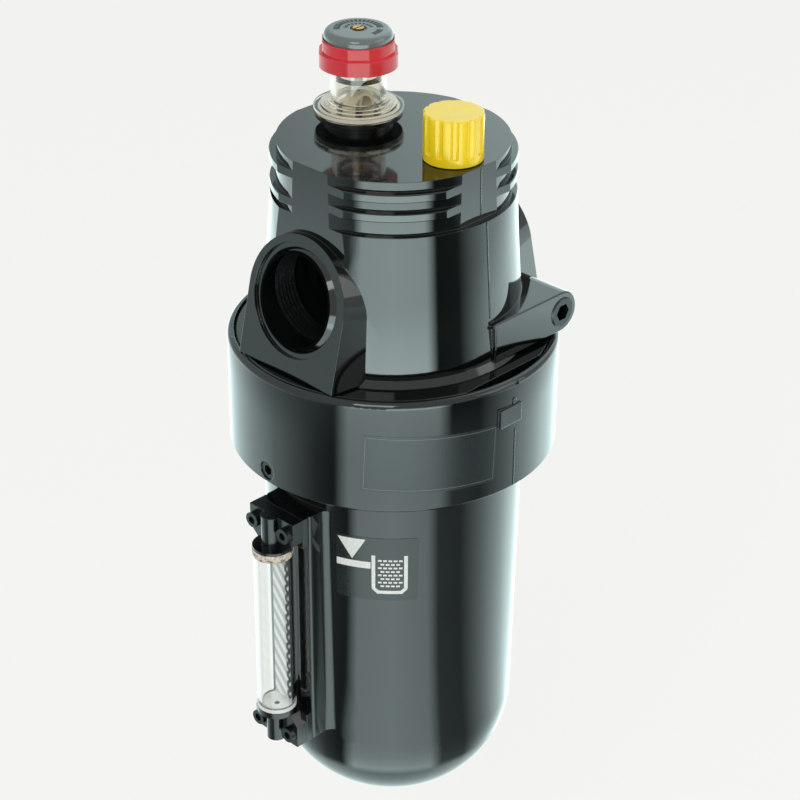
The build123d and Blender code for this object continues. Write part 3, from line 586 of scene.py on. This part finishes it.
def cup(width, high, low, wall, thickness):
    """Parts of a cup's outline with slanting lower corners, its middle on x = 0."""
    cut = 3.2 * MM
    side = width / 2 - wall / 2
    parts = []
    for x in (-side, side):
        tall = high - low - cut
        parts.append(tile("side", wall, tall, thickness, x=x, z=high - tall / 2))
        corner = tile("corner", wall, cut * 1.3, thickness)
        corner.data.transform(Matrix.Rotation(math.copysign(math.radians(45), x), 4, "Y"))
        middle = (math.copysign(side - cut / 2 + wall / 6, x), 0, low + cut / 2 + wall / 6)
        corner.data.transform(Matrix.Translation(middle))
        parts.append(corner)
    parts.append(tile("foot", width - 2 * cut, wall, thickness, z=low + wall / 2))
    return parts


class LevelSign(bpy.types.Operator):
    """Fill-level sign on the bowl: a pointer over a bar, beside a filled cup"""
    bl_idname = "lubricator.level_sign"
    bl_label = "Level sign"

    def marks(self, ink):
        """Parts of the drawing, laid out in millimetres from the sign's middle."""
        cup_width, cup_top, cup_foot, cup_x = 18.4, 8.4, -14.7, 6.6
        pointer = ((-20.4, 17.3), (-5.6, 17.5), (-12.7, 5.2))
        bar_width, bar_height, bar_x, bar_z = 18.0, 4.0, -12.1, 2.2
        dash_width, dash_height, first_x, first_z = 1.9, 1.05, 1.6, 5.4
        pitch_x, pitch_z, shift = 2.65, 2.2, 1.3
        rows, dashes = 8, 5

        parts = cup(cup_width * MM, cup_top * MM, cup_foot * MM, sizes().sign_line, ink)
        for part in parts:
            part.data.transform(Matrix.Translation((cup_x * MM, 0, 0)))
        parts.append(triangle("pointer", pointer, ink))
        parts.append(tile("bar", bar_width * MM, bar_height * MM, ink, x=bar_x * MM, z=bar_z * MM))
        # Every other row is one dash short and shifted, like brickwork
        for row in range(rows):
            odd = row % 2
            for place in range(dashes - odd):
                x = (first_x + shift * odd + pitch_x * place) * MM
                z = (first_z - pitch_z * row) * MM
                parts.append(tile("dash", dash_width * MM, dash_height * MM, ink, x=x, z=z))
        return parts

    def execute(self, context):
        s, c = sizes(), colours()
        ground = tile("level_sign", s.sign_width, s.sign_height, s.film, corner=s.sign_corner)
        marks = gather("level_sign_marks", self.marks(1.5 * s.film))
        for piece, material in (
            (ground, printed("sign_ground", c.sign, 0.14)),
            (marks, printed("sign_ink", c.white, 0.35)),
        ):
            slice_up(piece)
            piece.data.transform(Matrix.Translation((0, 0, -s.sign_drop)))
            wrap(piece, s.sign_radius, s.sign_angle, s.sign_lean)
            finish(piece, material)
            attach(piece, "bowl_group")
        return {"FINISHED"}


class CastingSeams(bpy.types.Operator):
    """Parting lines of the head and the clamp ring, with the stub over the ring's mark"""
    bl_idname = "lubricator.casting_seams"
    bl_label = "Casting seams"

    def execute(self, context):
        s = sizes()
        width, rise = s.seam_width, s.seam_rise
        line_x, strip_x, stub_x = 1.4 * MM, -0.6 * MM, -1.6 * MM
        lines = []
        # Height, radius of the wall, level of the middle, and the wall's lean in degrees
        for height, radius, middle, lean in (
            (50 * MM, 62.6 * MM, 13.5 * MM, -4.05),
            (24 * MM, 56.5 * MM, 53 * MM, -1.0),
        ):
            line = tile("seam", width, height, 2 * rise)
            line.data.transform(Matrix.Rotation(math.radians(lean), 4, "X"))
            line.data.transform(Matrix.Translation((line_x, rise - radius, middle)))
            lines.append(line)
        head_seam = gather("head_seam", lines)
        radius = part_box("clamp_ring")[1].x
        strip_height, strip_level = 32 * MM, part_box("clamp_ring")[0].z + 18 * MM
        strip = tile("strip", width, strip_height, 2 * rise)
        strip.data.transform(Matrix.Translation((strip_x, rise - radius, strip_level)))
        stub_width, stub_height, stub_corner, stub_level = 2.2 * MM, 4 * MM, 0.6 * MM, -48.2 * MM
        stub = tile("stub", stub_width, stub_height, 2 * rise, corner=stub_corner)
        stub.data.transform(Matrix.Translation((stub_x, rise - radius, stub_level)))
        ring_seam = gather("ring_seam", [strip, stub])
        for piece, body in ((head_seam, "head"), (ring_seam, "ring")):
            finish(piece, finish_of("clamp_ring"))
            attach(piece, body)
        return {"FINISHED"}


class GasketSleeve(bpy.types.Operator):
    """Pale lip of the upper gasket, turned up round the sight block's collar"""
    bl_idname = "lubricator.gasket_sleeve"
    bl_label = "Gasket sleeve"

    def execute(self, context):
        s = sizes()
        low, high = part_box("sight_upper_gasket")
        middle = (low + high) / 2
        bpy.ops.object.select_all(action="DESELECT")
        bpy.ops.mesh.primitive_cylinder_add(
            vertices=96, radius=s.sleeve_radius, depth=s.sleeve_height, end_fill_type="NOTHING",
            location=(middle.x, middle.y, high.z + s.sleeve_height / 2 - s.sleeve_lap),
        )
        sleeve = context.active_object
        sleeve.name = "gasket_sleeve"
        settle(sleeve)
        skin = sleeve.modifiers.new("wall", "SOLIDIFY")
        skin.thickness = s.sleeve_wall
        skin.offset = 1
        bpy.ops.object.modifier_apply(modifier=skin.name)
        bpy.ops.object.shade_smooth_by_angle(angle=math.radians(40))
        finish(sleeve, finish_of("sight_upper_gasket"))
        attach(sleeve, "bowl_group")
        return {"FINISHED"}


def washer(name, place, outer, inner, thickness):
    """Thin flat ring that lies on a place, its axis upright."""
    bpy.ops.object.select_all(action="DESELECT")
    bpy.ops.mesh.primitive_circle_add(vertices=96, radius=outer, location=place)
    piece = bpy.context.active_object
    piece.name = name
    settle(piece)
    bpy.ops.object.mode_set(mode="EDIT")
    bpy.ops.mesh.select_all(action="SELECT")
    bpy.ops.mesh.extrude_region_move()
    bpy.ops.transform.resize(value=(inner / outer,) * 3, center_override=place)
    thicken((0, 0, thickness))
    return piece


class PaleSeats(bpy.types.Operator):
    """Pale seats seen through the dome's clear flange and at the foot of the sight glass"""
    bl_idname = "lubricator.pale_seats"
    bl_label = "Pale seats"

    def execute(self, context):
        s = sizes()
        low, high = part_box("feed_dome")
        middle = (low + high) / 2
        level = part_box("dome_base_ring")[1].z + CLEARANCE
        outer = (high.x - low.x) / 2 - s.seat_inset
        seat = washer("dome_seat", (middle.x, middle.y, level), outer, s.seat_hole, s.seat_thickness)
        low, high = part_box("sight_glass")
        middle = (low + high) / 2
        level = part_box("sight_lower_block")[1].z + CLEARANCE
        web = washer("gasket_web", (middle.x, middle.y, level), s.web_radius, s.web_hole, s.web_thickness)
        finish(seat, moulded("seat_fibre", colours().seat, 0.4))
        finish(web, finish_of("sight_lower_gasket"))
        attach(seat, "head")
        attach(web, "bowl_group")
        return {"FINISHED"}


class KnobMarks(bpy.types.Operator):
    """Plain printed dashes round the knob's top"""
    bl_idname = "lubricator.knob_marks"
    bl_label = "Knob marks"

    def execute(self, context):
        low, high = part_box("feed_knob")
        middle = (low + high) / 2
        dashes = []
        # Circle's radius, dash's width and length, first dash and step in degrees, count
        for radius, width, reach, first, step, count in (
            (12.2, 1.5, 3.2, 96, 11, 17), (12.2, 1.5, 3.0, -104, 10, 4), (7.4, 1.3, 1.8, 80, 17, 10),
        ):
            for index in range(count):
                turn = math.radians(first - step * index) - VIEW_TURN
                dash = tile("dash", width * MM, sizes().film, reach * MM)
                dash.data.transform(Matrix.Translation((0, radius * MM, 0)))
                dash.data.transform(Matrix.Rotation(turn, 4, "Z"))
                dashes.append(dash)
        marks = gather("knob_marks", dashes)
        marks.data.transform(Matrix.Translation((middle.x, middle.y, high.z)))
        finish(marks, printed("knob_ink", colours().knob_ink, 0.5))
        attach(marks, "knob")
        return {"FINISHED"}


class PortThreads(bpy.types.Operator):
    """Pipe threads in both ports"""
    bl_idname = "lubricator.port_threads"
    bl_label = "Port threads"

    def execute(self, context):
        s = sizes()
        # The three-cornered profile points at the axis, and its root is sunk in the bore's wall
        narrow, turns = 0.62, 6
        sunk = s.thread_bore - s.thread_depth * 0.3
        for side, name in ((-1, "inlet_thread"), (1, "outlet_thread")):
            bpy.ops.object.select_all(action="DESELECT")
            bpy.ops.mesh.primitive_circle_add(vertices=3, radius=s.thread_depth, fill_type="NGON")
            piece = bpy.context.active_object
            piece.name = name
            settle(piece)
            piece.data.transform(Matrix.Scale(-narrow, 4, (0, 1, 0)))
            piece.data.transform(Matrix.Translation((s.thread_start, sunk, 0)))
            screw = piece.modifiers.new("thread", "SCREW")
            screw.axis = "X"
            screw.angle = 2 * math.pi
            screw.screw_offset = s.thread_pitch
            screw.iterations = turns
            screw.steps = screw.render_steps = 48
            screw.use_merge_vertices = False
            bpy.ops.object.modifier_apply(modifier=screw.name)
            if side < 0:
                piece.data.transform(Matrix.Rotation(math.pi, 4, "Z"))
            bpy.ops.object.mode_set(mode="EDIT")
            bpy.ops.mesh.select_all(action="SELECT")
            bpy.ops.mesh.fill_holes(sides=3)
            bpy.ops.mesh.select_all(action="SELECT")
            bpy.ops.mesh.normals_make_consistent(inside=False)
            bpy.ops.object.mode_set(mode="OBJECT")
            # Painted shade: the threads take the near-black finish of the shaded port
            finish(piece, finish_of("flow_sensor_ring"))
            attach(piece, "head")
        return {"FINISHED"}


# Stage

def look_at(thing, target):
    """Point a lamp or a card at a place."""
    away = thing.location - Vector(target)
    thing.rotation_euler = away.to_track_quat("Z", "Y").to_euler()


def card(name, thing):
    """Make a stage piece glow, seen only as its mirror image in the part."""
    thing.name = name
    for ray in ("camera", "diffuse", "transmission", "shadow", "volume_scatter"):
        setattr(thing, "visible_" + ray, False)
    glow = bpy.data.materials.new(name)
    glow.use_nodes = True
    tree = glow.node_tree
    tree.nodes.clear()
    lamp = add(tree, "ShaderNodeEmission", {"Color": (*colours().shine, 1)})
    add(tree, "ShaderNodeOutputMaterial", feeds={0: lamp.outputs[0]})
    place = add(tree, "ShaderNodeTexCoord").outputs["Object"]
    finish(thing, glow)
    return tree, lamp, place


def ramped(tree, source, start_at, end_at, first, last):
    """Value that goes from first to last while the source goes from start_at to end_at."""
    values = {"From Min": start_at, "From Max": end_at, "To Min": first, "To Max": last}
    return add(tree, "ShaderNodeMapRange", values, {"Value": source}).outputs[0]


class Cards(bpy.types.Operator):
    """Bright and dark cards that the enamel mirrors: one on the floor, one behind"""
    bl_idname = "lubricator.cards"
    bl_label = "Cards"

    # Degrees from the camera's side, glow near the part, glow further out
    stops = (
        (-180, 0.62, 0.38), (-115, 0.55, 0.38), (-92, 0.48, 0.23), (-72, 0.30, 0.18), (-50, 0.08, 0.12),
        (-37, 0.03, 0.07), (-28, 0.80, 0.94), (0, 0.92, 1.0), (29, 0.72, 0.92), (38, 0.12, 0.01),
        (58, 0.08, 0.02), (74, 0.30, 0.24), (90, 0.52, 0.40), (116, 0.76, 0.40), (180, 0.62, 0.38),
    )

    def profile(self, tree, bearing, column):
        """Glow all round the part, from one column of the stops."""
        ramp = add(tree, "ShaderNodeValToRGB", feeds={"Fac": bearing})
        points = ramp.color_ramp.elements
        for degrees, *_ in self.stops[1:-1]:
            points.new(0.5 + degrees / 360)
        for point, stop in zip(points, self.stops):
            point.color = (stop[column],) * 3 + (1,)
        return ramp.outputs["Color"]

    def floor_card(self):
        low, radius = cad_box[0][2] - 2 * CLEARANCE, 4
        bpy.ops.object.select_all(action="DESELECT")
        bpy.ops.mesh.primitive_circle_add(vertices=96, radius=radius, fill_type="NGON", location=(0, 0, low))
        tree, lamp, place = card("floor_card", bpy.context.active_object)
        facing = add(tree, "ShaderNodeMapping", {"Rotation": (0, 0, math.pi / 2 + VIEW_TURN)},
                     {"Vector": place})
        bearing = add(tree, "ShaderNodeTexGradient", feeds={"Vector": facing.outputs[0]},
                      gradient_type="RADIAL").outputs["Fac"]
        near, out = (self.profile(tree, bearing, column) for column in (1, 2))
        away = add(tree, "ShaderNodeVectorMath", feeds={0: place}, operation="LENGTH").outputs["Value"]
        # Metres from the part's axis, and what the glow is worth there
        far = ramped(tree, away, 0.50, 0.57, 0, 1)
        rise = ramped(tree, away, 0.57, 0.66, 3.7, 7.8)
        fall = ramped(tree, away, 0.84, 0.98, 1.0, 0.73)
        under = ramped(tree, away, 0.064, 0.074, 1.0, 0.0)
        glow = add(tree, "ShaderNodeMix", feeds={"Factor": far, "A": near, "B": out}, data_type="RGBA")
        glow = add(tree, "ShaderNodeMix", {"B": (0.35, 0.35, 0.35, 1)},
                   {"Factor": under, "A": glow.outputs["Result"]}, data_type="RGBA")
        gain = add(tree, "ShaderNodeMath", feeds={0: rise, 1: fall}, operation="MULTIPLY")
        strength = add(tree, "ShaderNodeMath", feeds={0: glow.outputs["Result"], 1: gain.outputs[0]},
                       operation="MULTIPLY")
        tree.links.new(strength.outputs[0], lamp.inputs["Strength"])

    def back_card(self):
        size, distance, aim = 3.4, 1.5, (0, 0, 66 * MM)
        flat, up = math.cos(VIEW_LIFT), math.sin(VIEW_LIFT)
        bpy.ops.mesh.primitive_plane_add(size=size)
        behind = bpy.context.active_object
        away = Vector((math.sin(VIEW_TURN) * flat, math.cos(VIEW_TURN) * flat, up))
        behind.location = away * distance
        look_at(behind, aim)
        tree, lamp, place = card("back_card", behind)
        across = add(tree, "ShaderNodeSeparateXYZ", feeds={0: place}).outputs["X"]
        tree.links.new(ramped(tree, across, -0.16, 0.16, 1.9, 0.95), lamp.inputs["Strength"])

    def execute(self, context):
        self.floor_card()
        self.back_card()
        return {"FINISHED"}


def pale_rays(tree):
    """1 for the rays that see a pale surrounding: camera, mirror and through-glass rays."""
    ray = add(tree, "ShaderNodeLightPath")
    seen = add(tree, "ShaderNodeMath", feeds={
        0: ray.outputs["Is Camera Ray"], 1: ray.outputs["Is Glossy Ray"],
    }, operation="MAXIMUM")
    return add(tree, "ShaderNodeMath", feeds={
        0: seen.outputs[0], 1: ray.outputs["Is Transmission Ray"],
    }, operation="MAXIMUM").outputs[0]


class Stage(bpy.types.Operator):
    """Pale floor, soft light and the camera of the reference view"""
    bl_idname = "lubricator.stage"
    bl_label = "Stage"

    def floor(self):
        low, radius = cad_box[0][2] - sizes().floor_gap, 6
        bpy.ops.object.select_all(action="DESELECT")
        bpy.ops.mesh.primitive_circle_add(vertices=96, radius=radius, fill_type="NGON", location=(0, 0, low))
        floor = bpy.context.active_object
        floor.name = "floor"
        paper = bpy.data.materials.new("paper_floor")
        paper.use_nodes = True
        tree = paper.node_tree
        tree.nodes.clear()
        pale = (*colours().paper, 1)
        matt = add(tree, "ShaderNodeBsdfDiffuse", {"Color": pale})
        glow = add(tree, "ShaderNodeEmission", {"Color": pale, "Strength": 1.1})
        share = add(tree, "ShaderNodeMath", {1: 0.8}, {0: pale_rays(tree)}, operation="MULTIPLY")
        mixed = add(tree, "ShaderNodeMixShader", feeds={
            0: share.outputs[0], 1: matt.outputs[0], 2: glow.outputs[0],
        })
        add(tree, "ShaderNodeOutputMaterial", feeds={0: mixed.outputs[0]})
        finish(floor, paper)

    def light(self, scene):
        world = bpy.data.worlds.new("studio")
        scene.world = world
        world.use_nodes = True
        tree = world.node_tree
        tree.nodes.clear()
        level = ramped(tree, pale_rays(tree), 0, 1, 0.62, 0.93)
        sky = add(tree, "ShaderNodeBackground", {"Color": (0.95, 1, 0.99, 1)}, {"Strength": level})
        add(tree, "ShaderNodeOutputWorld", feeds={0: sky.outputs[0]})
        for name, place, size, power in (
            ("key_softbox", (-1.5, -0.9, 1.3), 0.9, 14),
            ("fill_softbox", (1.1, -1.6, 0.9), 1.2, 7),
        ):
            lamp = bpy.data.lights.new(name, "AREA")
            lamp.shape = "SQUARE"
            lamp.size = size
            lamp.energy = power
            box = bpy.data.objects.new(name, lamp)
            scene.collection.objects.link(box)
            box.location = place
            look_at(box, (0, 0, -0.1))

    def camera(self, scene):
        flat, up = math.cos(VIEW_LIFT), math.sin(VIEW_LIFT)
        away = Vector((-math.sin(VIEW_TURN) * flat, -math.cos(VIEW_TURN) * flat, up))
        side = Vector((math.cos(VIEW_TURN), -math.sin(VIEW_TURN), 0))
        over = away.cross(side)
        right = side * math.cos(VIEW_ROLL) + over * math.sin(VIEW_ROLL)
        top = over * math.cos(VIEW_ROLL) - side * math.sin(VIEW_ROLL)
        target = side * VIEW_RIGHT + Vector((0, 0, VIEW_UP))
        lens = bpy.data.cameras.new("camera")
        lens.sensor_width = FILM_WIDTH
        lens.lens = FILM_WIDTH * FOCAL_PX / PICTURE_PX
        camera = bpy.data.objects.new("camera", lens)
        scene.collection.objects.link(camera)
        axes = Matrix((right, top, away)).transposed().to_4x4()
        camera.matrix_world = Matrix.Translation(target + away * VIEW_DISTANCE) @ axes
        scene.camera = camera

    def execute(self, context):
        self.floor()
        self.light(context.scene)
        self.camera(context.scene)
        context.scene.view_settings.view_transform = "Standard"
        return {"FINISHED"}


class LubricatorPanel(bpy.types.Panel):
    """Sizes, colours and the operators that dress the part"""
    bl_idname = "VIEW3D_PT_lubricator"
    bl_label = "Lubricator"
    bl_space_type = "VIEW_3D"
    bl_region_type = "UI"
    bl_category = "Lubricator"

    def draw(self, context):
        for group in (sizes(), colours()):
            for name in group.__annotations__:
                self.layout.prop(group, name)
        for operator in operators:
            self.layout.operator(operator.bl_idname)


operators = (
    FinishParts, RatingPlate, LevelSign, CastingSeams, GasketSleeve, PaleSeats, KnobMarks, PortThreads,
    Cards, Stage,
)
classes = (LubricatorColours, LubricatorSizes, *operators, LubricatorPanel)


def register():
    for entry in classes:
        bpy.utils.register_class(entry)
    bpy.types.Scene.lubricator_colours = PointerProperty(type=LubricatorColours)
    bpy.types.Scene.lubricator_sizes = PointerProperty(type=LubricatorSizes)


def unregister():
    del bpy.types.Scene.lubricator_sizes
    del bpy.types.Scene.lubricator_colours
    for entry in reversed(classes):
        bpy.utils.unregister_class(entry)


def main():
    register()
    bpy.ops.lubricator.finish_parts()
    bpy.ops.lubricator.rating_plate()
    bpy.ops.lubricator.level_sign()
    bpy.ops.lubricator.casting_seams()
    bpy.ops.lubricator.gasket_sleeve()
    bpy.ops.lubricator.pale_seats()
    bpy.ops.lubricator.knob_marks()
    bpy.ops.lubricator.port_threads()
    bpy.ops.lubricator.cards()
    bpy.ops.lubricator.stage()


if __name__ == "__main__":
    main()
